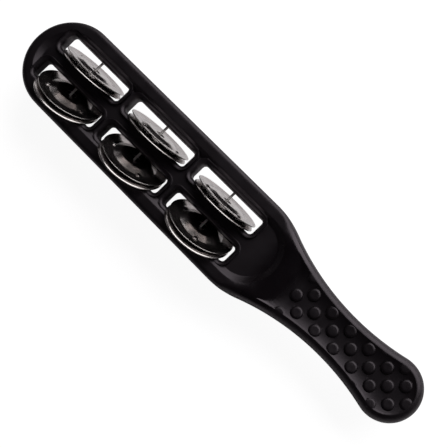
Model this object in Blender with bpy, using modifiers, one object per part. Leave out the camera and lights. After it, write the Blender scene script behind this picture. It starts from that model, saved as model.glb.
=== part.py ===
"""Jingle stick: a moulded stick with two rows of slots, three long pins and twelve jingles.

X runs from the head's tip to the handle's end, Y across the stick and Z through its thickness,
with the origin in the middle of the stick. Sizes are in millimetres and places along the stick
are measured from the head's tip.
"""

from math import atan2, cos, hypot, pi, radians, sin, sqrt

import bmesh
import bpy
from mathutils import Vector

MM = 0.001

# Outline of the stick: a round head, straight sides, a shoulder, a waist and a round end
STICK_LENGTH = 287.8
HEAD_HALF_WIDTH = 26.7
SHOULDER_RADIUS = 52.0
WAIST_RADIUS = 143.5
WAIST_PLACE = 233.8
WAIST_HALF_WIDTH = 13.5
EDGE_ROUND = 3.0

# Thickness: the head is a little thinner than the handle and meets it on a gentle step
HANDLE_THICKNESS = 14.0
HEAD_THICKNESS = 13.0
STEP_START = 169.8
STEP_LENGTH = 8.0

# Slots and pins: two rows of three
PIN_PLACE = 36.4
PIN_PITCH = 52.3
PIN_COUNT = 3
ROW_OFFSET = 10.2
SLOT_LENGTH = 45.6
SLOT_WIDTH = 10.4
SLOT_CORNER = 2.0
SLOT_FLARE_WIDTH = 2.65
SLOT_FLARE_HEIGHT = 3.6

# Pocket in each face of the head, with a raised collar round each slot
POCKET_HALF_WIDTH = 19.5
POCKET_HEAD_CENTRE = 25.3
POCKET_NECK_CENTRE = 167.2
POCKET_DEPTH = 2.3
POCKET_WALL_RUN = 4.0
COLLAR_WIDTH = 3.0
COLLAR_DROP = 0.7
COLLAR_DRAFT = 0.4

# Grip in each face of the handle: a dished floor behind a ramp, with rows of flat-topped bumps
GRIP_START = 189.2
GRIP_RAMP_LENGTH = 9.3
GRIP_DEPTH = 1.8
GRIP_RIM = 2.7
GRIP_DISH_RUN = 1.5
BUMP_DIAMETER = 7.0
BUMP_TOP_DIAMETER = 4.2
BUMP_SHOULDER_DIAMETER = 6.2
BUMP_SHOULDER_HEIGHT = 0.85
BUMP_HEIGHT = 1.3
BUMP_PLACE = 203.8
BUMP_PITCH = 13.05
BUMP_ROW_PITCH = 6.5
BUMP_ROWS_EACH_SIDE = 2

# Pins, pressed in from the +Y edge
PIN_DIAMETER = 1.5
PIN_CLEARANCE = 0.3
PIN_FAR_DEPTH = 5.0
PIN_END_RECESS = 2.2
MOUTH_DIAMETER = 4.2
MOUTH_DEPTH = 1.1

# Jingles: stamped discs with a flat flange round a low dome
JINGLE_RADIUS = 20.2
JINGLE_SHEET = 0.6
JINGLE_CREASE_RADIUS = 15.6
JINGLE_DOME_HEIGHT = 1.5
JINGLE_HOLE_RADIUS = 2.6
JINGLE_DISH = 0.6
JINGLE_DISH_RADIUS = 8.0

# How the pairs lie. The stick stands on its jingles, so each hangs with its middle above its pin.
# Each is named for its row and for the side, +Y or -Y, that its dome faces: the place of its
# flange on the pin, from the row's middle, and the height of its middle over the pin.
JINGLE_SLIDE = 0.6
RIGHT_PLUS_OFFSET = -0.9
RIGHT_PLUS_LIFT = 1.0
RIGHT_MINUS_OFFSET = -2.8
RIGHT_MINUS_LIFT = 1.0
LEFT_PLUS_OFFSET = 0.8
LEFT_PLUS_LIFT = 0.6
LEFT_MINUS_OFFSET = -1.05
LEFT_MINUS_LIFT = 1.3

# Degrees that each one's top leans towards -Y
RIGHT_PLUS_LEAN = 13.2
RIGHT_MINUS_LEAN = 14.6
LEFT_PLUS_LEAN = 33.0
LEFT_MINUS_LEAN = 34.5

# Fineness of the curved surfaces
HEAD_STEPS = 12
SHOULDER_STEPS = 4
WAIST_STEPS = 9
END_STEPS = 9
CORNER_STEPS = 3
FLARE_STEPS = 3
EDGE_STEPS = 3
JINGLE_STEPS = 24
JINGLE_RINGS = 4
PIN_STEPS = 12
BUMP_STEPS = 10
DISH_STEPS = 3

# How far cutters reach past what they cut
OVERCUT = 1.5

MATERIALS = {
    "black_plastic": {"colour": (0.012, 0.010, 0.012, 1.0), "roughness": 0.38, "metallic": 0.0},
    "pin_steel": {"colour": (0.62, 0.61, 0.60, 1.0), "roughness": 0.28, "metallic": 1.0},
    "jingle_steel": {"colour": (0.66, 0.65, 0.64, 1.0), "roughness": 0.22, "metallic": 1.0},
}


def clear_scene():
    """Remove every object that the file holds."""
    for item in list(bpy.data.objects):
        bpy.data.objects.remove(item, do_unlink=True)


def new_collection(name):
    """Make a collection under the scene's own."""
    collection = bpy.data.collections.new(name)
    bpy.context.scene.collection.children.link(collection)
    return collection


def new_material(name):
    """Make a Principled material from the table of materials."""
    look = MATERIALS[name]
    material = bpy.data.materials.new(name)
    material.use_nodes = True
    shader = material.node_tree.nodes["Principled BSDF"]
    shader.inputs["Base Color"].default_value = look["colour"]
    shader.inputs["Roughness"].default_value = look["roughness"]
    shader.inputs["Metallic"].default_value = look["metallic"]
    return material


def along(place):
    """Turn a place measured from the head's tip into X from the stick's middle."""
    return place - STICK_LENGTH / 2


def pin_places():
    """Places of the pins along the stick."""
    return [PIN_PLACE + PIN_PITCH * index for index in range(PIN_COUNT)]


def arc(centre, radius, start, end, steps):
    """Points of an arc, both ends included; angles in radians."""
    angles = [start + (end - start) * step / steps for step in range(steps + 1)]
    return [(centre[0] + radius * cos(angle), centre[1] + radius * sin(angle)) for angle in angles]


def without_repeats(points):
    """Drop points that fall on the one before them."""
    kept = []
    for point in points:
        if not kept or hypot(point[0] - kept[-1][0], point[1] - kept[-1][1]) > 1e-4:
            kept.append(point)
    return kept


def outline_centres():
    """Centres of the shoulder, waist and end arcs, and the end radius, from their tangencies."""
    waist = (WAIST_PLACE, WAIST_HALF_WIDTH + WAIST_RADIUS)
    shoulder_y = HEAD_HALF_WIDTH - SHOULDER_RADIUS
    reach = SHOULDER_RADIUS + WAIST_RADIUS
    shoulder = (WAIST_PLACE - sqrt(reach ** 2 - (waist[1] - shoulder_y) ** 2), shoulder_y)
    tail = STICK_LENGTH - WAIST_PLACE
    end_radius = (tail ** 2 + waist[1] ** 2 - WAIST_RADIUS ** 2) / (2 * (WAIST_RADIUS + tail))
    end = (STICK_LENGTH - end_radius, 0.0)
    return shoulder, waist, end, end_radius


def handle_side(inset, start_angle):
    """The +Y side of the handle, from an angle on the waist arc round to the end's tip."""
    waist, end, end_radius = outline_centres()[1:]
    meeting = atan2(end[1] - waist[1], end[0] - waist[0])
    side = arc(waist, WAIST_RADIUS + inset, start_angle - 2 * pi, meeting, WAIST_STEPS)
    side += arc(end, end_radius - inset, meeting + pi, 0.0, END_STEPS)
    return side


def closed_from_half(half):
    """A closed outline from its +Y half, listed from one end of the middle line to the other."""
    lower = [(x, -y) for x, y in reversed(half) if y > 1e-6]
    return without_repeats(half + lower)


def stick_outline():
    """The whole outline of the stick, made of tangent arcs."""
    shoulder, waist = outline_centres()[:2]
    meeting = atan2(waist[1] - shoulder[1], waist[0] - shoulder[0])
    half = arc((HEAD_HALF_WIDTH, 0.0), HEAD_HALF_WIDTH, pi, pi / 2, HEAD_STEPS)
    half += arc(shoulder, SHOULDER_RADIUS, pi / 2, meeting, SHOULDER_STEPS)
    half += handle_side(0.0, meeting + pi)
    return closed_from_half(without_repeats(half))


def grip_outline(inset):
    """Outline of the sunk grip: the handle's own outline, drawn in, with a straight start."""
    waist = outline_centres()[1]
    radius = WAIST_RADIUS + inset
    start = (GRIP_START, waist[1] - sqrt(radius ** 2 - (waist[0] - GRIP_START) ** 2))
    angle = atan2(start[1] - waist[1], start[0] - waist[0]) + 2 * pi
    return closed_from_half(without_repeats(handle_side(inset, angle)))


def stadium(growth):
    """Outline of the head's pocket, grown outwards by an amount."""
    radius = POCKET_HALF_WIDTH + growth
    half = arc((POCKET_HEAD_CENTRE, 0.0), radius, pi, pi / 2, HEAD_STEPS)
    half += arc((POCKET_NECK_CENTRE, 0.0), radius, pi / 2, 0.0, HEAD_STEPS)
    return closed_from_half(half)


def rounded_rectangle(centre, length, width, corner, growth):
    """A rectangle with round corners, grown outwards by an amount."""
    radius = corner + growth
    points = []
    for turn, (side_x, side_y) in enumerate([(1, 1), (-1, 1), (-1, -1), (1, -1)]):
        middle = (centre[0] + side_x * (length / 2 - corner), centre[1] + side_y * (width / 2 - corner))
        points += arc(middle, radius, turn * pi / 2, (turn + 1) * pi / 2, CORNER_STEPS)
    return without_repeats(points)


def mesh_object(name, mesh_build, collection, material=None):
    """Wrap a bmesh in a named object with outward faces and smooth round surfaces."""
    bmesh.ops.recalc_face_normals(mesh_build, faces=mesh_build.faces)
    mesh = bpy.data.meshes.new(name)
    mesh_build.to_mesh(mesh)
    mesh_build.free()
    mesh.shade_smooth()
    mesh.set_sharp_from_angle(angle=radians(35))
    item = bpy.data.objects.new(name, mesh)
    collection.objects.link(item)
    if material:
        mesh.materials.append(material)
    return item


def loft(name, sections, collection):
    """A closed solid through outlines of equal length; each section is (height, outline)."""
    build = bmesh.new()
    rings = []
    for height, outline in sections:
        ring = [build.verts.new((along(x) * MM, y * MM, height * MM)) for x, y in outline]
        rings.append(ring)
    count = len(rings[0])
    for lower, upper in zip(rings, rings[1:]):
        for index in range(count):
            after = (index + 1) % count
            build.faces.new((lower[index], lower[after], upper[after], upper[index]))
    build.faces.new(list(reversed(rings[0])))
    build.faces.new(rings[-1])
    return mesh_object(name, build, collection)


def side_profile(name, points, half_width, collection):
    """A bar across the stick whose outline, seen from the side, is a list of (place, height)."""
    build = bmesh.new()
    corners = [build.verts.new((along(x) * MM, -half_width * MM, z * MM)) for x, z in points]
    face = build.faces.new(corners)
    swept = bmesh.ops.extrude_face_region(build, geom=[face])["geom"]
    moved = [element for element in swept if isinstance(element, bmesh.types.BMVert)]
    bmesh.ops.translate(build, verts=moved, vec=Vector((0.0, 2 * half_width * MM, 0.0)))
    return mesh_object(name, build, collection)


def cross_cone(name, place, start, end, start_radius, end_radius, collection):
    """A round bar or cone that runs along Y between two places."""
    build = bmesh.new()
    bmesh.ops.create_cone(
        build, cap_ends=True, segments=PIN_STEPS, radius1=start_radius * MM,
        radius2=end_radius * MM, depth=(end - start) * MM,
    )
    item = mesh_object(name, build, collection)
    item.location = (along(place) * MM, (start + end) / 2 * MM, 0.0)
    item.rotation_euler = (-pi / 2, 0.0, 0.0)
    return item


def as_cutter(item):
    """Hide a cutter from renders and draw it as wires."""
    item.hide_render = True
    item.display_type = "WIRE"
    return item


def boolean(item, tool, operation="DIFFERENCE"):
    """Cut an object with a tool, or join them."""
    modifier = item.modifiers.new(tool.name, "BOOLEAN")
    modifier.operation = operation
    modifier.solver = "EXACT"
    modifier.object = tool
    as_cutter(tool)


def head_face_cutter(side, cutters):
    """Takes the head's face down below the handle's, on a gentle step."""
    low = HEAD_THICKNESS / 2
    high = HANDLE_THICKNESS / 2
    slope = STEP_LENGTH / (high - low)
    top = high + OVERCUT
    points = [(-OVERCUT, low), (STEP_START, low), (STEP_START + slope * (top - low), top), (-OVERCUT, top)]
    points = [(x, side * z) for x, z in points]
    return side_profile("head_face_%+d" % side, points, HEAD_HALF_WIDTH + OVERCUT, cutters)


def pocket_cutter(side, cutters):
    """The head's pocket, with the slots' collars left standing in it."""
    face = HEAD_THICKNESS / 2
    floor = face - POCKET_DEPTH
    slope = POCKET_WALL_RUN / POCKET_DEPTH
    top = HANDLE_THICKNESS / 2 + OVERCUT
    sections = [
        (side * floor, stadium(-POCKET_WALL_RUN)),
        (side * top, stadium((top - face) * slope)),
    ]
    pocket = loft("pocket_%+d" % side, sections, cutters)
    collar_top = face - COLLAR_DROP
    for place in pin_places():
        for row in (ROW_OFFSET, -ROW_OFFSET):
            slot_size = ((place, row), SLOT_LENGTH, SLOT_WIDTH, SLOT_CORNER)
            sections = [
                (side * (floor - OVERCUT), rounded_rectangle(*slot_size, COLLAR_WIDTH + COLLAR_DRAFT / 2)),
                (side * collar_top, rounded_rectangle(*slot_size, COLLAR_WIDTH - COLLAR_DRAFT / 2)),
            ]
            boolean(pocket, loft("collar_%+d_%.0f_%+.0f" % (side, place, row), sections, cutters))
    return pocket


def slot_cutter(place, row, cutters):
    """A slot right through the head, flared in a quarter ellipse at both faces."""
    face = HEAD_THICKNESS / 2 - COLLAR_DROP
    straight = face - SLOT_FLARE_HEIGHT
    upper = []
    for step in range(FLARE_STEPS + 1):
        angle = pi / 2 * step / FLARE_STEPS
        growth = SLOT_FLARE_WIDTH * (1 - cos(angle))
        upper.append((straight + SLOT_FLARE_HEIGHT * sin(angle), growth))
    upper.append((HANDLE_THICKNESS / 2 + OVERCUT, SLOT_FLARE_WIDTH))
    lower = [(-height, growth) for height, growth in reversed(upper)]
    sections = []
    for height, growth in lower + upper:
        outline = rounded_rectangle((place, row), SLOT_LENGTH, SLOT_WIDTH, SLOT_CORNER, growth)
        sections.append((height, outline))
    return loft("slot_%.0f_%+.0f" % (place, row), sections, cutters)


def bump_places():
    """Places of the grip's bumps, in staggered rows; the outer rows are cut by the rim."""
    places = []
    for row in range(-BUMP_ROWS_EACH_SIDE, BUMP_ROWS_EACH_SIDE + 1):
        place = BUMP_PLACE + (BUMP_PITCH / 2 if row % 2 else 0.0)
        while place < STICK_LENGTH - GRIP_RIM:
            places.append((place, row * BUMP_ROW_PITCH))
            place += BUMP_PITCH
    return places


def bumps(side, cutters):
    """The grip's bumps: round buttons with a soft shoulder and a flat top."""
    floor = HANDLE_THICKNESS / 2 - GRIP_DEPTH
    profile = [
        (floor - OVERCUT, BUMP_DIAMETER / 2),
        (floor, BUMP_DIAMETER / 2),
        (floor + BUMP_SHOULDER_HEIGHT, BUMP_SHOULDER_DIAMETER / 2),
        (floor + BUMP_HEIGHT, BUMP_TOP_DIAMETER / 2),
    ]
    build = bmesh.new()
    for place, row in bump_places():
        rings = []
        for height, radius in profile:
            circle = arc((along(place), row), radius, 0.0, 2 * pi, BUMP_STEPS)[:-1]
            rings.append([build.verts.new((x * MM, y * MM, side * height * MM)) for x, y in circle])
        for lower, upper in zip(rings, rings[1:]):
            for index in range(BUMP_STEPS):
                after = (index + 1) % BUMP_STEPS
                build.faces.new((lower[index], lower[after], upper[after], upper[index]))
        build.faces.new(list(reversed(rings[0])))
        build.faces.new(rings[-1])
    return mesh_object("bumps_%+d" % side, build, cutters)


def grip_cutter(side, cutters):
    """The handle's sunk grip: a dished floor behind a ramp, with the bumps left standing."""
    face = HANDLE_THICKNESS / 2
    floor = face - GRIP_DEPTH
    top = face + OVERCUT
    sections = []
    for step in range(DISH_STEPS, -1, -1):
        share = step / DISH_STEPS
        fallen = GRIP_DEPTH * share ** 2 * (3 - 2 * share)
        sections.append((side * (face - fallen), grip_outline(GRIP_RIM + GRIP_DISH_RUN * share)))
    sections.append((side * top, grip_outline(GRIP_RIM)))
    grip = loft("grip_%+d" % side, sections, cutters)
    ramp_slope = GRIP_RAMP_LENGTH / GRIP_DEPTH
    low = floor - OVERCUT
    high = top + OVERCUT
    ramp = [
        (GRIP_START - ramp_slope * (high - face), low),
        (GRIP_START + ramp_slope * (face - low), low),
        (GRIP_START - ramp_slope * (high - face), high),
    ]
    ramp = [(x, side * z) for x, z in ramp]
    boolean(grip, side_profile("ramp_%+d" % side, ramp, HEAD_HALF_WIDTH, cutters))
    boolean(grip, bumps(side, cutters))
    return grip


def bore_cutters(place, cutters):
    """The bore for one pin, blind at -Y, and its countersunk mouth in the +Y edge."""
    edge = HEAD_HALF_WIDTH
    bore = PIN_DIAMETER / 2 + PIN_CLEARANCE
    far = -edge + PIN_FAR_DEPTH - PIN_CLEARANCE
    hole = cross_cone("bore_%.0f" % place, place, far, edge + OVERCUT, bore, bore, cutters)
    mouth = MOUTH_DIAMETER / 2
    outer = mouth + (mouth - bore) * OVERCUT / MOUTH_DEPTH
    sink = cross_cone(
        "mouth_%.0f" % place, place, edge - MOUTH_DEPTH, edge + OVERCUT, bore, outer, cutters,
    )
    return hole, sink


def stick_body(parts, cutters):
    """The moulded stick."""
    build = bmesh.new()
    half = HANDLE_THICKNESS / 2 * MM
    face = build.faces.new([build.verts.new((along(x) * MM, y * MM, -half)) for x, y in stick_outline()])
    swept = bmesh.ops.extrude_face_region(build, geom=[face])["geom"]
    moved = [element for element in swept if isinstance(element, bmesh.types.BMVert)]
    bmesh.ops.translate(build, verts=moved, vec=Vector((0.0, 0.0, 2 * half)))
    body = mesh_object("stick_body", build, parts, new_material("black_plastic"))
    rounding = body.modifiers.new("edge_round", "BEVEL")
    rounding.width = EDGE_ROUND * MM
    rounding.segments = EDGE_STEPS
    rounding.limit_method = "ANGLE"
    rounding.angle_limit = radians(60)
    for side in (1, -1):
        boolean(body, head_face_cutter(side, cutters))
        boolean(body, pocket_cutter(side, cutters))
        boolean(body, grip_cutter(side, cutters))
    for place in pin_places():
        for row in (ROW_OFFSET, -ROW_OFFSET):
            boolean(body, slot_cutter(place, row, cutters))
        for tool in bore_cutters(place, cutters):
            boolean(body, tool)
    return body


def pin(index, place, material, parts):
    """One long pin that carries both rows' jingles."""
    start = -HEAD_HALF_WIDTH + PIN_FAR_DEPTH
    end = HEAD_HALF_WIDTH - PIN_END_RECESS
    radius = PIN_DIAMETER / 2
    item = cross_cone("pin_%d" % index, place, start, end, radius, radius, parts)
    item.data.materials.append(material)
    return item


def dome_height(radius):
    """Height of the jingle's sheet over its flange: a low dome, dished round the hole."""
    inside = max(0.0, 1 - (radius / JINGLE_CREASE_RADIUS) ** 2)
    dish = 1 - JINGLE_DISH * 2.718281828 ** (-(radius / JINGLE_DISH_RADIUS) ** 2)
    return JINGLE_DOME_HEIGHT * inside ** 0.8 * dish


def jingle_profile():
    """Closed section of a jingle: its upper skin from hole to rim, and back along the lower."""
    span = JINGLE_CREASE_RADIUS - JINGLE_HOLE_RADIUS
    radii = [JINGLE_HOLE_RADIUS + span * step / JINGLE_RINGS for step in range(JINGLE_RINGS + 1)]
    radii.append(JINGLE_RADIUS)
    half = JINGLE_SHEET / 2
    upper = [(radius, dome_height(radius) + half) for radius in radii]
    lower = [(radius, dome_height(radius) - half) for radius in reversed(radii)]
    return upper + lower


def jingle_mesh(material, facing, lift):
    """One stamped disc, turned from its profile, with its dome up and the pin's crossing at the origin."""
    build = bmesh.new()
    section = [build.verts.new((radius * MM, 0.0, height * MM)) for radius, height in jingle_profile()]
    for start, end in zip(section, section[1:] + section[:1]):
        build.edges.new((start, end))
    bmesh.ops.spin(
        build, geom=build.verts[:] + build.edges[:], cent=(0, 0, 0), axis=(0, 0, 1),
        angle=2 * pi, steps=JINGLE_STEPS, use_merge=True, use_duplicate=False,
    )
    bmesh.ops.remove_doubles(build, verts=build.verts, dist=1e-6)
    bmesh.ops.recalc_face_normals(build, faces=build.faces)
    shift = Vector((JINGLE_SLIDE * MM, -facing * lift * MM, 0.0))
    bmesh.ops.translate(build, verts=build.verts[:], vec=shift)
    mesh = bpy.data.meshes.new("jingle")
    build.to_mesh(mesh)
    build.free()
    mesh.shade_smooth()
    mesh.set_sharp_from_angle(angle=radians(35))
    mesh.materials.append(material)
    return mesh


def jingle(name, mesh, place, crossing, lean, facing, parts):
    """Hang one jingle on its pin, with its origin where its flange's plane meets the pin."""
    item = bpy.data.objects.new(name, mesh)
    parts.objects.link(item)
    item.location = (along(place) * MM, crossing * MM, 0.0)
    if facing > 0:
        item.rotation_euler = (-(pi / 2 - radians(lean)), 0.0, 0.0)
    else:
        item.rotation_euler = (pi / 2 + radians(lean), 0.0, 0.0)
    return item


def jingle_pairs(parts):
    """Six pairs of jingles, their hollow sides facing each other."""
    steel = new_material("jingle_steel")
    kinds = [
        ("right", 1, 1, RIGHT_PLUS_OFFSET, RIGHT_PLUS_LIFT, RIGHT_PLUS_LEAN),
        ("right", 1, -1, RIGHT_MINUS_OFFSET, RIGHT_MINUS_LIFT, RIGHT_MINUS_LEAN),
        ("left", -1, 1, LEFT_PLUS_OFFSET, LEFT_PLUS_LIFT, LEFT_PLUS_LEAN),
        ("left", -1, -1, LEFT_MINUS_OFFSET, LEFT_MINUS_LIFT, LEFT_MINUS_LEAN),
    ]
    for row, side, facing, offset, lift, lean in kinds:
        where = "outer" if facing == side else "inner"
        mesh = jingle_mesh(steel, facing, lift)
        for index, place in enumerate(pin_places(), start=1):
            name = "jingle_%s_%d_%s" % (row, index, where)
            jingle(name, mesh, place, side * ROW_OFFSET + offset, lean, facing, parts)


def build_stick():
    """Build every piece."""
    clear_scene()
    parts = new_collection("jingle_stick")
    cutters = new_collection("cutters")
    stick_body(parts, cutters)
    steel = new_material("pin_steel")
    for index, place in enumerate(pin_places(), start=1):
        pin(index, place, steel, parts)
    jingle_pairs(parts)


build_stick()
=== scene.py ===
# Jingle stick: a black moulded stick with twelve bright jingles on three pins.
# Lengths below are in millimetres, and places along the stick run from the head's tip.

import math

import bmesh
import bpy
import numpy as np
from mathutils import Matrix, Vector, geometry


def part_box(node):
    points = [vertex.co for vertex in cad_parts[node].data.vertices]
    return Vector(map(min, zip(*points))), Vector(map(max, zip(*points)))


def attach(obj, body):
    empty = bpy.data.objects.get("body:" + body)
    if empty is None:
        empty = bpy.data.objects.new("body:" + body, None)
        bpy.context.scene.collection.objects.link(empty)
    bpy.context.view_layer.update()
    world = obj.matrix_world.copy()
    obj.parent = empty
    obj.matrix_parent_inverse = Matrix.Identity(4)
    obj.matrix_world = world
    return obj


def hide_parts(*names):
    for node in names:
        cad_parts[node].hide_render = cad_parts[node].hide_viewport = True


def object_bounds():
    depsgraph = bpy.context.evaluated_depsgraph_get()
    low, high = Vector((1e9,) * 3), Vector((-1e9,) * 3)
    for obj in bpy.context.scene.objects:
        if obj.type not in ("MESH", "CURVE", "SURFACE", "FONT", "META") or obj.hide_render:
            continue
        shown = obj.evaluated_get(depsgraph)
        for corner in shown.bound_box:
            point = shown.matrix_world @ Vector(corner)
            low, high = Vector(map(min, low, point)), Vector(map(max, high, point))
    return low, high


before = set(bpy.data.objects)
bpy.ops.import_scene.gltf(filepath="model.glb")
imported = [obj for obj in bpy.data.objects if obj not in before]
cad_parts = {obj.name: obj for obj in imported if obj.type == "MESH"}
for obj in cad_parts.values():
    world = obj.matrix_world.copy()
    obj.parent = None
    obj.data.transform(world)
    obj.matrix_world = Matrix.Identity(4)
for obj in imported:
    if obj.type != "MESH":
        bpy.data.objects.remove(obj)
cadLow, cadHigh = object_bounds()
millimetre = 0.001
halfLength = (cadHigh.x - cadLow.x) / 2 / millimetre
print("frame loaded:", len(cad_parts), "solids")


# The moulded stick

stick = {
    "length": 287.8,
    "headHalfWidth": 26.7,
    "shoulderRadius": 52.0,
    "waistRadius": 143.5,
    "waistPlace": 233.8,
    "waistHalfWidth": 13.5,
    "headRound": 2.6,
    "handleRound": 5.0,
    "handleHalf": 7.0,
    "headHalf": 6.5,
    "stepStart": 169.8,
    "stepLength": 8.0,
}
slots = {
    "places": [36.4, 88.7, 141.0],
    "row": 10.2,
    "length": 45.6,
    "width": 10.4,
    "corner": 2.0,
    "flareWidth": 2.65,
    "flareHeight": 3.6,
}
pocket = {
    "halfWidth": 19.5,
    "headCentre": 25.3,
    "neckCentre": 167.2,
    "depth": 2.3,
    "wallRun": 3.4,
    "collarWidth": 3.0,
    "collarDrop": 0.7,
    "collarDraft": 0.4,
}
grip = {
    "start": 189.2,
    "rampLength": 9.3,
    "depth": 1.8,
    "rim": 3.9,
    "lip": 0.35,           # depth reached close behind the rim
    "lipRun": 0.7,
    "reach": 7.9,          # how far in from the rim the floor goes on falling
    "bumpRadius": 3.5,
    "bumpTopRadius": 2.1,
    "bumpDrop": 0.45,      # how far the tops lie under the rim's level
    "bumpRise": 0.4,       # and how much less close to the rim
    "bumpPlace": 203.8,
    "bumpPitch": 13.05,
    "rowPitch": 6.5,
    "rowsEachSide": 2,
}
mould = {
    "softness": 0.22,      # how far two faces blend where they meet
    "arcStep": 1.4,        # spacing of points along the outline
    "smallStep": 0.8,      # spacing of points round a slot or a bump
}


def arcCentres():
    # Tangent circles: each centre follows from the sum of the two radii
    s = stick
    waist = np.array([s["waistPlace"], s["waistHalfWidth"] + s["waistRadius"]])
    shoulderY = s["headHalfWidth"] - s["shoulderRadius"]
    reach = s["shoulderRadius"] + s["waistRadius"]
    shoulder = np.array([s["waistPlace"] - math.sqrt(reach ** 2 - (waist[1] - shoulderY) ** 2), shoulderY])
    tail = s["length"] - s["waistPlace"]
    endRadius = (tail ** 2 + waist[1] ** 2 - s["waistRadius"] ** 2) / (2 * (s["waistRadius"] + tail))
    end = np.array([s["length"] - endRadius, 0.0])
    return shoulder, waist, end, endRadius


shoulderCentre, waistCentre, endCentre, endRadius = arcCentres()


def outlineDepth(x, y):
    # Distance inwards from the outline: each zone of x belongs to one arc or straight side
    y = np.abs(y)
    s = stick
    head = s["headHalfWidth"] - np.hypot(np.minimum(x - s["headHalfWidth"], 0.0), y)
    shoulder = s["shoulderRadius"] - np.hypot(x - shoulderCentre[0], y - shoulderCentre[1])
    waist = np.hypot(x - waistCentre[0], y - waistCentre[1]) - s["waistRadius"]
    end = endRadius - np.hypot(x - endCentre[0], y)

    def past(first, second):
        line = second - first
        return (x - first[0]) * line[1] - (y - first[1]) * line[0] > 0

    depth = np.where(x > shoulderCentre[0], shoulder, head)
    depth = np.where((x > shoulderCentre[0]) & past(shoulderCentre, waistCentre), waist, depth)
    return np.where((x > stick["waistPlace"]) & past(endCentre, waistCentre), end, depth)


def pocketDepth(x, y):
    # Distance inwards from the stadium round the pocket
    nearest = np.clip(x, pocket["headCentre"], pocket["neckCentre"])
    return pocket["halfWidth"] - np.hypot(x - nearest, y)


def slotDistance(x, y):
    # Distance outwards from the nearest slot, a rectangle with round corners
    places = np.array(slots["places"])
    nearest = np.abs(x[:, None] - places[None, :]).min(1)
    across = np.abs(np.abs(y) - slots["row"])
    overX = nearest - (slots["length"] / 2 - slots["corner"])
    overY = across - (slots["width"] / 2 - slots["corner"])
    outside = np.hypot(np.maximum(overX, 0), np.maximum(overY, 0))
    return outside + np.minimum(np.maximum(overX, overY), 0) - slots["corner"]


def bumpPlaces():
    places = []
    for row in range(-grip["rowsEachSide"], grip["rowsEachSide"] + 1):
        start = grip["bumpPlace"] + (grip["bumpPitch"] / 2 if row % 2 else 0.0)
        for place in np.arange(start, stick["length"] - grip["rim"], grip["bumpPitch"]):
            places.append((place, row * grip["rowPitch"]))
    return np.array(places)


def softMin(a, b, k):
    # Smaller of two heights, rounded where they cross
    share = np.clip(0.5 + 0.5 * (b - a) / k, 0, 1)
    return b * (1 - share) + a * share - k * share * (1 - share)


def softMax(a, b, k):
    return -softMin(-a, -b, k)


def faceHeight(x, y):
    # Height of the front face over the stick's middle plane
    k = mould["softness"]
    rise = np.clip((x - stick["stepStart"]) / stick["stepLength"], 0, 1)
    level = stick["headHalf"] + (stick["handleHalf"] - stick["headHalf"]) * rise ** 2 * (3 - 2 * rise)
    depth = outlineDepth(x, y)
    radius = stick["headRound"] + (stick["handleRound"] - stick["headRound"]) * rise ** 2 * (3 - 2 * rise)
    short = radius - np.clip(depth, 0, radius)
    height = level - radius + np.sqrt(np.maximum(radius ** 2 - short ** 2, 0))

    inPocket = pocketDepth(x, y)
    floor = stick["headHalf"] - pocket["depth"]
    wall = stick["headHalf"] - inPocket * pocket["depth"] / pocket["wallRun"]
    fromSlot = slotDistance(x, y)
    fall = (pocket["depth"] - pocket["collarDrop"] + 1.5) / pocket["collarDraft"]
    collarTop = stick["headHalf"] - pocket["collarDrop"]
    collar = collarTop - np.maximum(fromSlot - pocket["collarWidth"] + pocket["collarDraft"] / 2, 0) * fall
    sunk = softMax(softMax(wall, np.full_like(x, floor), k), np.maximum(collar, floor - 1), k)
    height = np.where(inPocket > -1.5, softMin(height, sunk, k), height)
    flare = np.clip(1 - fromSlot / slots["flareWidth"], 0, 1)
    throat = collarTop - slots["flareHeight"] * (1 - np.sqrt(np.maximum(1 - flare ** 2, 0)))
    height = np.where(fromSlot < slots["flareWidth"], throat, height)

    gripFloor = level - grip["depth"]
    lip = np.clip((depth - grip["rim"]) / grip["lipRun"], 0, 1)
    fallen = 1 - np.clip((depth - grip["rim"]) / grip["reach"], 0, 1)
    dish = level - grip["lip"] * lip - (grip["depth"] - grip["lip"]) * (1 - fallen ** 2)
    ramp = level - (x - grip["start"]) * grip["depth"] / grip["rampLength"]
    bumps = bumpPlaces()
    near = np.hypot(x[:, None] - bumps[None, :, 0], y[:, None] - bumps[None, :, 1]).min(1)
    shoulder = np.clip((near - grip["bumpTopRadius"]) / (grip["bumpRadius"] - grip["bumpTopRadius"]), 0, 1)
    top = level - grip["bumpDrop"] + grip["bumpRise"] * fallen ** 2
    bump = gripFloor + (top - gripFloor) * np.sqrt(1 - shoulder ** 2) - np.where(near > grip["bumpRadius"], 1, 0)
    low = np.maximum(softMax(ramp, dish, k), bump)
    return np.where((x > grip["start"] - 1) & (depth > grip["rim"] - 0.5), softMin(height, low, k), height)


def arcPoints(centre, radius, start, end, step):
    count = max(2, int(math.ceil(abs(end - start) * radius / step)))
    angle = np.linspace(start, end, count + 1)
    return np.stack([centre[0] + radius * np.cos(angle), centre[1] + radius * np.sin(angle)], 1)


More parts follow.
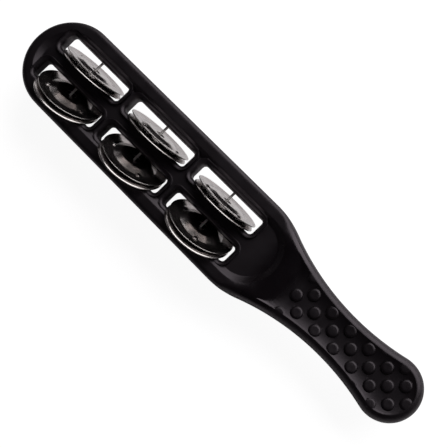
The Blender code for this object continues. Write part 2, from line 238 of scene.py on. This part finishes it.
def outlineRing(inset):
    # The outline drawn in by an amount, as tangent arcs, mirrored for the other half
    s = stick
    join = math.atan2(waistCentre[1] - shoulderCentre[1], waistCentre[0] - shoulderCentre[0])
    meet = math.atan2(endCentre[1] - waistCentre[1], endCentre[0] - waistCentre[0])
    step = mould["arcStep"]
    head = arcPoints((s["headHalfWidth"], 0), s["headHalfWidth"] - inset, math.pi, math.pi / 2, step)
    side = np.linspace(s["headHalfWidth"], shoulderCentre[0], 60)[1:-1]
    side = np.stack([side, np.full_like(side, s["headHalfWidth"] - inset)], 1)
    shoulder = arcPoints(shoulderCentre, s["shoulderRadius"] - inset, math.pi / 2, join, step)
    waist = arcPoints(waistCentre, s["waistRadius"] + inset, join - math.pi, meet, step)[1:]
    end = arcPoints(endCentre, endRadius - inset, meet + math.pi, 0, step)[1:]
    half = np.concatenate([head, side, shoulder, waist, end])
    return np.concatenate([half, half[-2:0:-1] * [1, -1]])


def pocketRing(growth):
    radius = pocket["halfWidth"] + growth
    step = mould["arcStep"]
    head = arcPoints((pocket["headCentre"], 0), radius, math.pi, math.pi / 2, step)
    side = np.linspace(pocket["headCentre"], pocket["neckCentre"], 60)[1:-1]
    side = np.stack([side, np.full_like(side, radius)], 1)
    neck = arcPoints((pocket["neckCentre"], 0), radius, math.pi / 2, 0, step)
    half = np.concatenate([head, side, neck])
    return np.concatenate([half, half[-2:0:-1] * [1, -1]])


def slotRing(place, row, growth):
    radius = slots["corner"] + growth
    halfX = slots["length"] / 2 - slots["corner"]
    halfY = slots["width"] / 2 - slots["corner"]
    points = []
    for turn, (sideX, sideY) in enumerate([(1, 1), (-1, 1), (-1, -1), (1, -1)]):
        centre = (place + sideX * halfX, row + sideY * halfY)
        points.append(arcPoints(centre, radius, turn * math.pi / 2, (turn + 1) * math.pi / 2, mould["smallStep"]))
        following = [(-1, 1), (-1, -1), (1, -1), (1, 1)][turn]
        start = points[-1][-1]
        run = np.array([following[0] - sideX, following[1] - sideY]) * [halfX, halfY]
        count = max(2, int(np.abs(run).sum() / 2.2))
        points.append(start + run * np.linspace(0, 1, count + 1)[1:-1, None])
    return np.concatenate(points)


def circleRing(centre, radius):
    angle = np.linspace(0, 2 * math.pi, 28, endpoint=False)
    return np.stack([centre[0] + radius * np.cos(angle), centre[1] + radius * np.sin(angle)], 1)


def layoutLines():
    # Every contour at which the face's height changes its run; the last entry says if it is closed
    lines = []
    radius = stick["handleRound"]
    for turn in np.radians([90, 80, 70, 60, 50, 40, 30, 20, 10, 0]):
        lines.append((outlineRing(radius * (1 - math.sin(turn))), True))
    for growth in (0.45, 0.2, 0, -0.2, -0.5, -1.7, -2.9, -3.2, -3.4, -3.6, -3.9):
        lines.append((pocketRing(growth), True))
    flare = [slots["flareWidth"] * (1 - math.cos(turn)) for turn in np.radians([0, 18, 34, 48, 60, 72, 82, 90])]
    edge = [pocket["collarWidth"] + offset for offset in (-0.3, -0.18, 0.0, 0.15, 0.25, 0.4)]
    for place in slots["places"]:
        for row in (slots["row"], -slots["row"]):
            for growth in flare + edge:
                lines.append((slotRing(place, row, growth), True))
    for inset in (-0.1, 0.1, 0.35, 0.6, 0.85, 1.3, 2.0, 3.0, 4.5, 6.5):
        ring = outlineRing(grip["rim"] + inset)
        lines.append((ring[ring[:, 0] > grip["start"] - 1.5], False))
    for bump in bumpPlaces():
        spread = grip["bumpRadius"] - grip["bumpTopRadius"]
        for turn in np.radians([0, 20, 38, 54, 68, 80, 90]):
            lines.append((circleRing(bump, grip["bumpTopRadius"] + spread * math.sin(turn)), True))
        lines.append((circleRing(bump, grip["bumpRadius"] + 0.06), True))
    crossings = [stick["stepStart"] + stick["stepLength"] * share for share in (0, 0.25, 0.5, 0.75, 1)]
    crossings += [grip["start"] + offset for offset in (-0.6, 0, 0.6, 3, 6)]
    crossings += [grip["start"] + grip["rampLength"] + offset for offset in (-0.8, 0, 0.8)]
    for place in crossings:
        across = np.linspace(-25, 25, 26)
        lines.append((np.stack([np.full_like(across, place), across], 1), False))
    return lines


def faceLayout():
    # Triangles of the face seen from above, cut along every contour
    points, edges = [], []
    for ring, closed in layoutLines():
        depth = outlineDepth(ring[:, 0], ring[:, 1])
        start = len(points)
        inside = depth > -1e-6
        points.extend(ring.tolist())
        count = len(ring)
        for index in range(count if closed else count - 1):
            after = (index + 1) % count
            gap = np.hypot(*(ring[after] - ring[index]))
            if inside[index] and inside[after] and gap < 6:
                edges.append((start + index, start + after))
    found = geometry.delaunay_2d_cdt([Vector(p) for p in points], edges, [], 0, 1e-5)
    spots = np.array([tuple(v) for v in found[0]])
    faces = np.array([f for f in found[2] if len(f) == 3])
    middle = spots[faces].mean(1)
    keep = (outlineDepth(middle[:, 0], middle[:, 1]) > 1e-3) & (slotDistance(middle[:, 0], middle[:, 1]) > 1e-3)
    faces = faces[keep]
    first, second, third = spots[faces[:, 0]], spots[faces[:, 1]], spots[faces[:, 2]]
    side = (second - first)[:, 0] * (third - first)[:, 1] - (second - first)[:, 1] * (third - first)[:, 0]
    faces[side < 0] = faces[side < 0][:, ::-1]
    faces = faces[np.abs(side) > 1e-9]
    used, faces = np.unique(faces, return_inverse=True)
    return spots[used], faces.reshape(-1, 3)


def meshPiece(name, corners, faces, body, nodes):
    mesh = bpy.data.meshes.new(name)
    mesh.from_pydata((np.asarray(corners) * millimetre).tolist(), [], [list(map(int, f)) for f in faces])
    mesh.validate()
    mesh.update()
    piece = bpy.data.objects.new(name, mesh)
    bpy.context.scene.collection.objects.link(piece)
    mesh.shade_smooth()
    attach(piece, body)
    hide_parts(*nodes)
    return piece


def makeStick():
    spots, faces = faceLayout()
    x, y = spots[:, 0], spots[:, 1]
    height = faceHeight(x, y)
    count = len(spots)
    corners = np.concatenate([
        np.stack([x - halfLength, y, height], 1),
        np.stack([x - halfLength, y, -height], 1),
    ])
    walls = np.concatenate([faces[:, [0, 1]], faces[:, [1, 2]], faces[:, [2, 0]]])
    keys = np.sort(walls, 1)
    uniqueKeys, where, times = np.unique(keys, axis=0, return_index=True, return_counts=True)
    rim = walls[where[times == 1]]
    quads = np.stack([rim[:, 1], rim[:, 0], rim[:, 0] + count, rim[:, 1] + count], 1)
    allFaces = list(faces) + list(faces[:, ::-1] + count) + list(quads)
    piece = meshPiece("stickMoulding", corners, allFaces, "stick", ["stick_body"])
    piece.data.set_sharp_from_angle(angle=math.radians(50))
    print("stick moulding:", len(corners), "corners,", len(allFaces), "faces")
    return piece


stickPiece = makeStick()


# Pins

pins = {"radius": 0.75, "steps": 32, "endRound": 0.25}


def makePin(number, place):
    # A round bar along Y: the radius is full but for a quarter round at each end
    low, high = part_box("pin_%d" % number)
    start, end = low.y / millimetre, high.y / millimetre
    turn = np.radians([0, 30, 60, 90])
    fall = pins["endRound"] * (1 - np.sin(turn))
    step = pins["endRound"] * (1 - np.cos(turn))
    along = np.concatenate([[start], start + step, (end - step)[::-1], [end]])
    radius = np.concatenate([[0.0], pins["radius"] - fall, (pins["radius"] - fall)[::-1], [0.0]])
    angle = np.linspace(0, 2 * np.pi, pins["steps"], endpoint=False)
    ring, round_ = np.meshgrid(np.arange(len(along)), angle, indexing="ij")
    corners = np.stack([
        place - halfLength + radius[ring] * np.cos(round_), along[ring], radius[ring] * np.sin(round_),
    ], -1).reshape(-1, 3)
    faces = gridFaces(len(along), pins["steps"], True)
    piece = meshPiece("crossPin%d" % number, corners, faces, "stick", ["pin_%d" % number])
    tidyMesh(piece)
    return piece


def gridFaces(rows, columns, wraps):
    # Quads of a grid of rows by columns, whose columns may close on themselves
    last = columns if wraps else columns - 1
    row, column = np.meshgrid(np.arange(rows - 1), np.arange(last), indexing="ij")
    after = (column + 1) % columns
    quads = np.stack([row * columns + column, row * columns + after, (row + 1) * columns + after,
                      (row + 1) * columns + column], -1)
    return quads.reshape(-1, 4)


def tidyMesh(piece):
    # Close the poles and seams, and turn every face outwards
    build = bmesh.new()
    build.from_mesh(piece.data)
    bmesh.ops.remove_doubles(build, verts=build.verts, dist=1e-7)
    bmesh.ops.dissolve_degenerate(build, edges=build.edges, dist=1e-8)
    bmesh.ops.recalc_face_normals(build, faces=build.faces)
    build.to_mesh(piece.data)
    build.free()
    piece.data.shade_smooth()


pinPieces = [makePin(number, place) for number, place in enumerate(slots["places"], start=1)]
print("pins:", len(pinPieces))


# Jingles

jingle = {
    "radius": 20.2,
    "sheet": 0.6,
    "slopes": [                  # radius and degrees by which the sheet rises inwards there
        (2.6, -6), (5.0, -8), (7.6, -4), (8.6, 4), (9.3, 16), (10.0, 21), (12.8, 22), (13.3, 18),
        (13.7, 2), (14.2, 0), (15.6, 0), (16.2, -5), (18.2, -10), (20.2, -22),
    ],
    "crease": 13.7,
    "edge": [(0.22, 0.23), (0.08, 0.13), (0.0, 0.0)],    # distance in from the rim, and height
    "base": -0.3,                # height of the sheet at the crease
    "hole": 2.6,
    "slide": 0.6,
    "dimpleRing": 13.8,
    "dimpleRadius": 1.1,
    "dimpleHeight": 0.7,
    "steps": 192,
}
# Each disc has its place across the slot, lean in degrees, lift over the pin, and how high its dome stands
rows = {
    "right": {"side": 1, "turns": [75.0, 240.0, 30.0],
              "plus": (-0.9, 13.2, 0.93, 0.6), "minus": (-2.8, 14.6, 1.0, 0.6)},
    "left": {"side": -1, "turns": [20.0, 43.0, 70.0],
             "plus": (0.65, 33.0, 0.6, 1.0), "minus": (-1.3, 34.5, 1.3, 0.55)},
}


def domeHeight(radius, share):
    # The slope's tangent, summed along the radius from the crease
    steps = np.linspace(0, 22, 2201)
    radii, slopes = np.array(jingle["slopes"]).T
    rise = np.tan(np.radians(np.interp(steps, radii, slopes)))
    height = -np.concatenate([[0], np.cumsum((rise[1:] + rise[:-1]) / 2 * np.diff(steps))])
    height -= np.interp(jingle["crease"], steps, height)
    height *= np.where(steps < jingle["crease"], share, 1)
    return np.interp(radius, steps, height) + jingle["base"]


def jingleSkin(radius, angle, turn, share):
    # Mid surface: the dome plus three small round dimples on a ring
    height = domeHeight(radius, share)
    for third in range(3):
        middle = math.radians(turn + 120 * third)
        apart = np.hypot(radius * np.cos(angle) - jingle["dimpleRing"] * math.cos(middle),
                         radius * np.sin(angle) - jingle["dimpleRing"] * math.sin(middle))
        height = height + jingle["dimpleHeight"] * np.exp(-(apart / jingle["dimpleRadius"]) ** 2)
    return height


def makeJingle(name, node, body, place, crossing, stance, facing, turn):
    j = jingle
    lean, lift, share = stance
    half = j["sheet"] / 2
    inner = np.concatenate([
        np.linspace(j["hole"] + 0.12, 8.0, 10), np.linspace(8.25, 13.0, 20), np.linspace(13.2, 14.2, 8),
        np.linspace(14.6, 16.2, 5), np.linspace(16.5, j["radius"] - 0.45, 12),
    ])
    edge = np.array(j["edge"])
    outerEdge = np.concatenate([edge, edge[-2::-1] * [1, -1]]) * [-1, 1] + [j["radius"], 0]
    holeEdge = np.stack([np.full(3, j["hole"]), [-half * 0.6, 0, half * 0.6]], 1)
    section = np.concatenate([
        np.stack([inner, np.full_like(inner, half)], 1), outerEdge,
        np.stack([inner[::-1], np.full_like(inner, -half)], 1), holeEdge,
    ])
    angle = np.linspace(0, 2 * np.pi, j["steps"], endpoint=False)
    radius, around = np.meshgrid(section[:, 0], angle, indexing="ij")
    height = jingleSkin(radius, around, turn, share) + section[:, 1][:, None]
    x, s = radius * np.cos(around), radius * np.sin(around)
    a = math.radians(lean)
    up = np.array([0, -math.sin(a), math.cos(a)])
    out = np.array([0, math.cos(a), math.sin(a)]) * facing
    centre = np.array([place - halfLength + j["slide"], crossing, 0.0]) + lift * up
    corners = centre + x[..., None] * np.array([1.0, 0, 0]) + s[..., None] * up + height[..., None] * out
    faces = gridFaces(len(section), j["steps"], True)
    closing = gridFaces(2, j["steps"], True)
    closing = np.where(closing >= j["steps"], closing - j["steps"], closing + (len(section) - 1) * j["steps"])
    piece = meshPiece(name, corners.reshape(-1, 3), np.concatenate([faces, closing]), body, [node])
    local = np.stack([x, s, height], -1).reshape(-1, 3) * millimetre
    piece.data.attributes.new("discPlace", "FLOAT_VECTOR", "POINT").data.foreach_set(
        "vector", local.astype(np.float32).ravel())
    build = bmesh.new()
    build.from_mesh(piece.data)
    bmesh.ops.recalc_face_normals(build, faces=build.faces)
    build.to_mesh(piece.data)
    build.free()
    piece.data.shade_smooth()
    return piece


def makeJingles():
    made = []
    for rowName, row in rows.items():
        for index, place in enumerate(slots["places"], start=1):
            for facing, key in ((1, "plus"), (-1, "minus")):
                offset, stance = row[key][0], row[key][1:]
                where = "outer" if facing == row["side"] else "inner"
                body = "%s_%d_%s" % (rowName, index, where)
                crossing = row["side"] * slots["row"] + offset
                turn = row["turns"][index - 1] if facing > 0 else row["turns"][index - 1] + 47
                name = "disc%s%d%s" % (rowName.capitalize(), index, where.capitalize())
                made.append(makeJingle(name, "jingle_" + body, body, place, crossing, stance, facing, turn))
    return made


jinglePieces = makeJingles()
print("jingles:", len(jinglePieces))


# Finishes

def newMaterial(name):
    material = bpy.data.materials.new(name)
    material.use_nodes = True
    nodes = material.node_tree.nodes
    return material, nodes, material.node_tree.links, nodes["Principled BSDF"]


def addNoise(nodes, links, coordinate, scale, detail, roughness=0.5):
    noise = nodes.new("ShaderNodeTexNoise")
    noise.inputs["Scale"].default_value = scale
    noise.inputs["Detail"].default_value = detail
    noise.inputs["Roughness"].default_value = roughness
    links.new(coordinate, noise.inputs["Vector"])
    return noise.outputs["Fac"]


def addRange(nodes, links, value, fromLow, fromHigh, toLow, toHigh):
    node = nodes.new("ShaderNodeMapRange")
    node.inputs["From Min"].default_value = fromLow
    node.inputs["From Max"].default_value = fromHigh
    node.inputs["To Min"].default_value = toLow
    node.inputs["To Max"].default_value = toHigh
    links.new(value, node.inputs["Value"])
    return node.outputs["Result"]


def addMath(nodes, links, operation, first, second):
    node = nodes.new("ShaderNodeMath")
    node.operation = operation
    for socket, value in zip(node.inputs, (first, second)):
        if isinstance(value, float):
            socket.default_value = value
        else:
            links.new(value, socket)
    return node.outputs[0]


def addMix(nodes, links, share, first, second):
    node = nodes.new("ShaderNodeMix")
    node.data_type = "RGBA"
    links.new(share, node.inputs["Factor"])
    for socket, value in ((node.inputs["A"], first), (node.inputs["B"], second)):
        if isinstance(value, tuple):
            socket.default_value = (*value, 1)
        else:
            links.new(value, socket)
    return node.outputs["Result"]


def addBump(nodes, links, height, strength, distance, normal=None):
    node = nodes.new("ShaderNodeBump")
    node.inputs["Strength"].default_value = strength
    node.inputs["Distance"].default_value = distance
    links.new(height, node.inputs["Height"])
    if normal:
        links.new(normal, node.inputs["Normal"])
    return node.outputs["Normal"]


def blackPlastic():
    look = {"dark": (0.0024, 0.0017, 0.0023), "light": (0.0048, 0.0034, 0.0045), "neck": (0.036, 0.056)}
    material, nodes, links, shader = newMaterial("blackPlastic")
    place = nodes.new("ShaderNodeTexCoord").outputs["Object"]
    clouds = addNoise(nodes, links, place, 45, 4)
    links.new(addMix(nodes, links, clouds, look["dark"], look["light"]), shader.inputs["Base Color"])
    smears = addNoise(nodes, links, place, 120, 3)
    split = nodes.new("ShaderNodeSeparateXYZ")
    links.new(place, split.inputs[0])
    begins = addRange(nodes, links, split.outputs["X"], look["neck"][0] - 0.004, look["neck"][0] + 0.004, 0, 1)
    ends = addRange(nodes, links, split.outputs["X"], look["neck"][1] - 0.004, look["neck"][1] + 0.002, 1, 0)
    handled = addMath(nodes, links, "MULTIPLY", begins, ends)
    worn = addMath(nodes, links, "MULTIPLY", handled, -0.2)
    rough = addRange(nodes, links, smears, 0.3, 0.7, 0.38, 0.46)
    links.new(addMath(nodes, links, "ADD", rough, worn), shader.inputs["Roughness"])
    grain = addNoise(nodes, links, place, 2600, 2)
    waves = addNoise(nodes, links, place, 90, 2)
    soft = addBump(nodes, links, waves, 0.25, 0.0003)
    links.new(addBump(nodes, links, grain, 0.12, 0.00008, soft), shader.inputs["Normal"])
    shader.inputs["Specular IOR Level"].default_value = 0.5
    shader.inputs["Specular Tint"].default_value = (1.0, 0.88, 0.97, 1)
    return material


def jingleSteel():
    look = {"dull": (0.46, 0.43, 0.42), "bright": (0.58, 0.55, 0.54)}
    material, nodes, links, shader = newMaterial("jingleSteel")
    shader.inputs["Metallic"].default_value = 1.0
    place = nodes.new("ShaderNodeAttribute")
    place.attribute_name = "discPlace"
    place = place.outputs["Vector"]
    length = nodes.new("ShaderNodeVectorMath")
    length.operation = "LENGTH"
    links.new(place, length.inputs[0])
    rings = nodes.new("ShaderNodeTexNoise")
    rings.noise_dimensions = "1D"
    rings.inputs["Scale"].default_value = 2200
    rings.inputs["Detail"].default_value = 3
    links.new(length.outputs["Value"], rings.inputs["W"])
    tarnish = addNoise(nodes, links, place, 160, 5, 0.6)
    links.new(addMix(nodes, links, addRange(nodes, links, tarnish, 0.35, 0.65, 0, 1), look["dull"], look["bright"]),
              shader.inputs["Base Color"])
    links.new(addRange(nodes, links, tarnish, 0.3, 0.7, 0.24, 0.17), shader.inputs["Roughness"])
    grain = addNoise(nodes, links, place, 300, 2)
    soft = addBump(nodes, links, grain, 0.02, 0.00002)
    links.new(addBump(nodes, links, rings.outputs["Fac"], 0.01, 0.000005, soft), shader.inputs["Normal"])
    return material


def pinSteel():
    look = {"dull": (0.70, 0.66, 0.64), "bright": (0.82, 0.79, 0.77)}
    material, nodes, links, shader = newMaterial("pinSteel")
    shader.inputs["Metallic"].default_value = 1.0
    place = nodes.new("ShaderNodeTexCoord").outputs["Object"]
    clouds = addNoise(nodes, links, place, 500, 4)
    links.new(addMix(nodes, links, clouds, look["dull"], look["bright"]), shader.inputs["Base Color"])
    links.new(addRange(nodes, links, clouds, 0.3, 0.7, 0.65, 0.52), shader.inputs["Roughness"])
    links.new(addBump(nodes, links, clouds, 0.1, 0.00005), shader.inputs["Normal"])
    return material


plastic, disc, wire = blackPlastic(), jingleSteel(), pinSteel()
stickPiece.data.materials.append(plastic)
for piece in jinglePieces:
    piece.data.materials.append(disc)
for piece in pinPieces:
    piece.data.materials.append(wire)
print("finishes: 3")


# Floor, light and camera

studio = {
    "floorSize": 4.0,
    "floorGlow": 0.93,
    "floorColour": (0.35, 0.345, 0.35),
    "bounceColour": (0.75, 0.74, 0.745),
    "mirroredColour": (1.45, 1.42, 1.43),
    "skyHigh": (0.030, 0.027, 0.030),
    "skyLow": (0.42, 0.41, 0.42),
    "skyEdge": 0.38,
    "sideLamp": {"place": (0.1, 0.75, 0.50), "size": (1.4, 0.84), "power": 9.0},
}


def makeFloor():
    mesh = bpy.data.meshes.new("floor")
    size = studio["floorSize"] / 2
    level = cadLow.z
    mesh.from_pydata([(-size, -size, level), (size, -size, level), (size, size, level), (-size, size, level)],
                     [], [(0, 1, 2, 3)])
    floor = bpy.data.objects.new("floor", mesh)
    bpy.context.scene.collection.objects.link(floor)
    # White to the camera but for a faint shadow, and a fully lit, fully shadowed floor to the steel
    material, nodes, links, shader = newMaterial("whiteFloor")
    nodes.remove(shader)
    path = nodes.new("ShaderNodeLightPath")
    mirrored = addMix(nodes, links, path.outputs["Is Glossy Ray"], studio["bounceColour"], studio["mirroredColour"])
    colour = addMix(nodes, links, path.outputs["Is Camera Ray"], mirrored, studio["floorColour"])
    matt = nodes.new("ShaderNodeBsdfDiffuse")
    links.new(colour, matt.inputs["Color"])
    glow = nodes.new("ShaderNodeEmission")
    links.new(addRange(nodes, links, path.outputs["Is Camera Ray"], 0, 1, 0, studio["floorGlow"]), glow.inputs["Strength"])
    both = nodes.new("ShaderNodeAddShader")
    links.new(matt.outputs[0], both.inputs[0])
    links.new(glow.outputs[0], both.inputs[1])
    links.new(both.outputs[0], nodes["Material Output"].inputs["Surface"])
    mesh.materials.append(material)


def makeWorld():
    world = bpy.data.worlds.new("softStudio")
    bpy.context.scene.world = world
    world.use_nodes = True
    nodes, links = world.node_tree.nodes, world.node_tree.links
    back = nodes["Background"]
    # Paler low down, most of all at -Y, than overhead, and white where the camera sees it
    split = nodes.new("ShaderNodeSeparateXYZ")
    links.new(nodes.new("ShaderNodeTexCoord").outputs["Generated"], split.inputs[0])
    share = addRange(nodes, links, split.outputs["Z"], 0, studio["skyEdge"], 1, 0)
    low = addMath(nodes, links, "POWER", share, 2.0)
    away = addRange(nodes, links, split.outputs["Y"], -0.3, 0.6, 1, 0.1)
    sky = addMix(nodes, links, addMath(nodes, links, "MULTIPLY", low, away), studio["skyHigh"], studio["skyLow"])
    path = nodes.new("ShaderNodeLightPath")
    links.new(addMix(nodes, links, path.outputs["Is Camera Ray"], sky, (1.0, 1.0, 1.0)), back.inputs["Color"])


def makeLamp(name, lamp):
    light = bpy.data.lights.new(name, "AREA")
    light.shape = "RECTANGLE"
    light.size, light.size_y = lamp["size"]
    light.energy = lamp["power"]
    item = bpy.data.objects.new(name, light)
    item.location = lamp["place"]
    item.rotation_mode = "QUATERNION"
    item.rotation_quaternion = (-Vector(lamp["place"])).to_track_quat("-Z", "Y")
    bpy.context.scene.collection.objects.link(item)


def makeCamera():
    # The photo looks down on the front face, a little from the handle's end, with the stick on the diagonal
    view = {"focal": 1152.0, "imageSide": 448.0, "distance": 612.0, "aim": (60.3, -0.24), "tilt": 12.07, "roll": 3.32}
    tilt, roll = math.radians(view["tilt"]), math.radians(view["roll"])
    back = Vector((math.sin(tilt), -math.sin(roll) * math.cos(tilt), math.cos(roll) * math.cos(tilt)))
    along = (Vector((1, 0, 0)) - back * back.x).normalized()
    across = back.cross(along)
    right = (along + across) / math.sqrt(2)
    up = (across - along) / math.sqrt(2)
    middlePin = slots["places"][1] - halfLength
    aim = Vector((view["aim"][0] + middlePin, view["aim"][1], 0)) * millimetre
    data = bpy.data.cameras.new("photoCamera")
    data.sensor_width = 36.0
    data.lens = 36.0 * view["focal"] / view["imageSide"]
    data.clip_start, data.clip_end = 0.01, 20
    camera = bpy.data.objects.new("photoCamera", data)
    turned = Matrix((right, up, back)).transposed().to_4x4()
    camera.matrix_world = Matrix.Translation(aim + back * view["distance"] * millimetre) @ turned
    bpy.context.scene.collection.objects.link(camera)
    bpy.context.scene.camera = camera


makeFloor()
makeWorld()
makeLamp("sideLamp", studio["sideLamp"])
makeCamera()
bpy.context.scene.view_settings.view_transform = "Standard"
print("floor, lamps and camera ready")
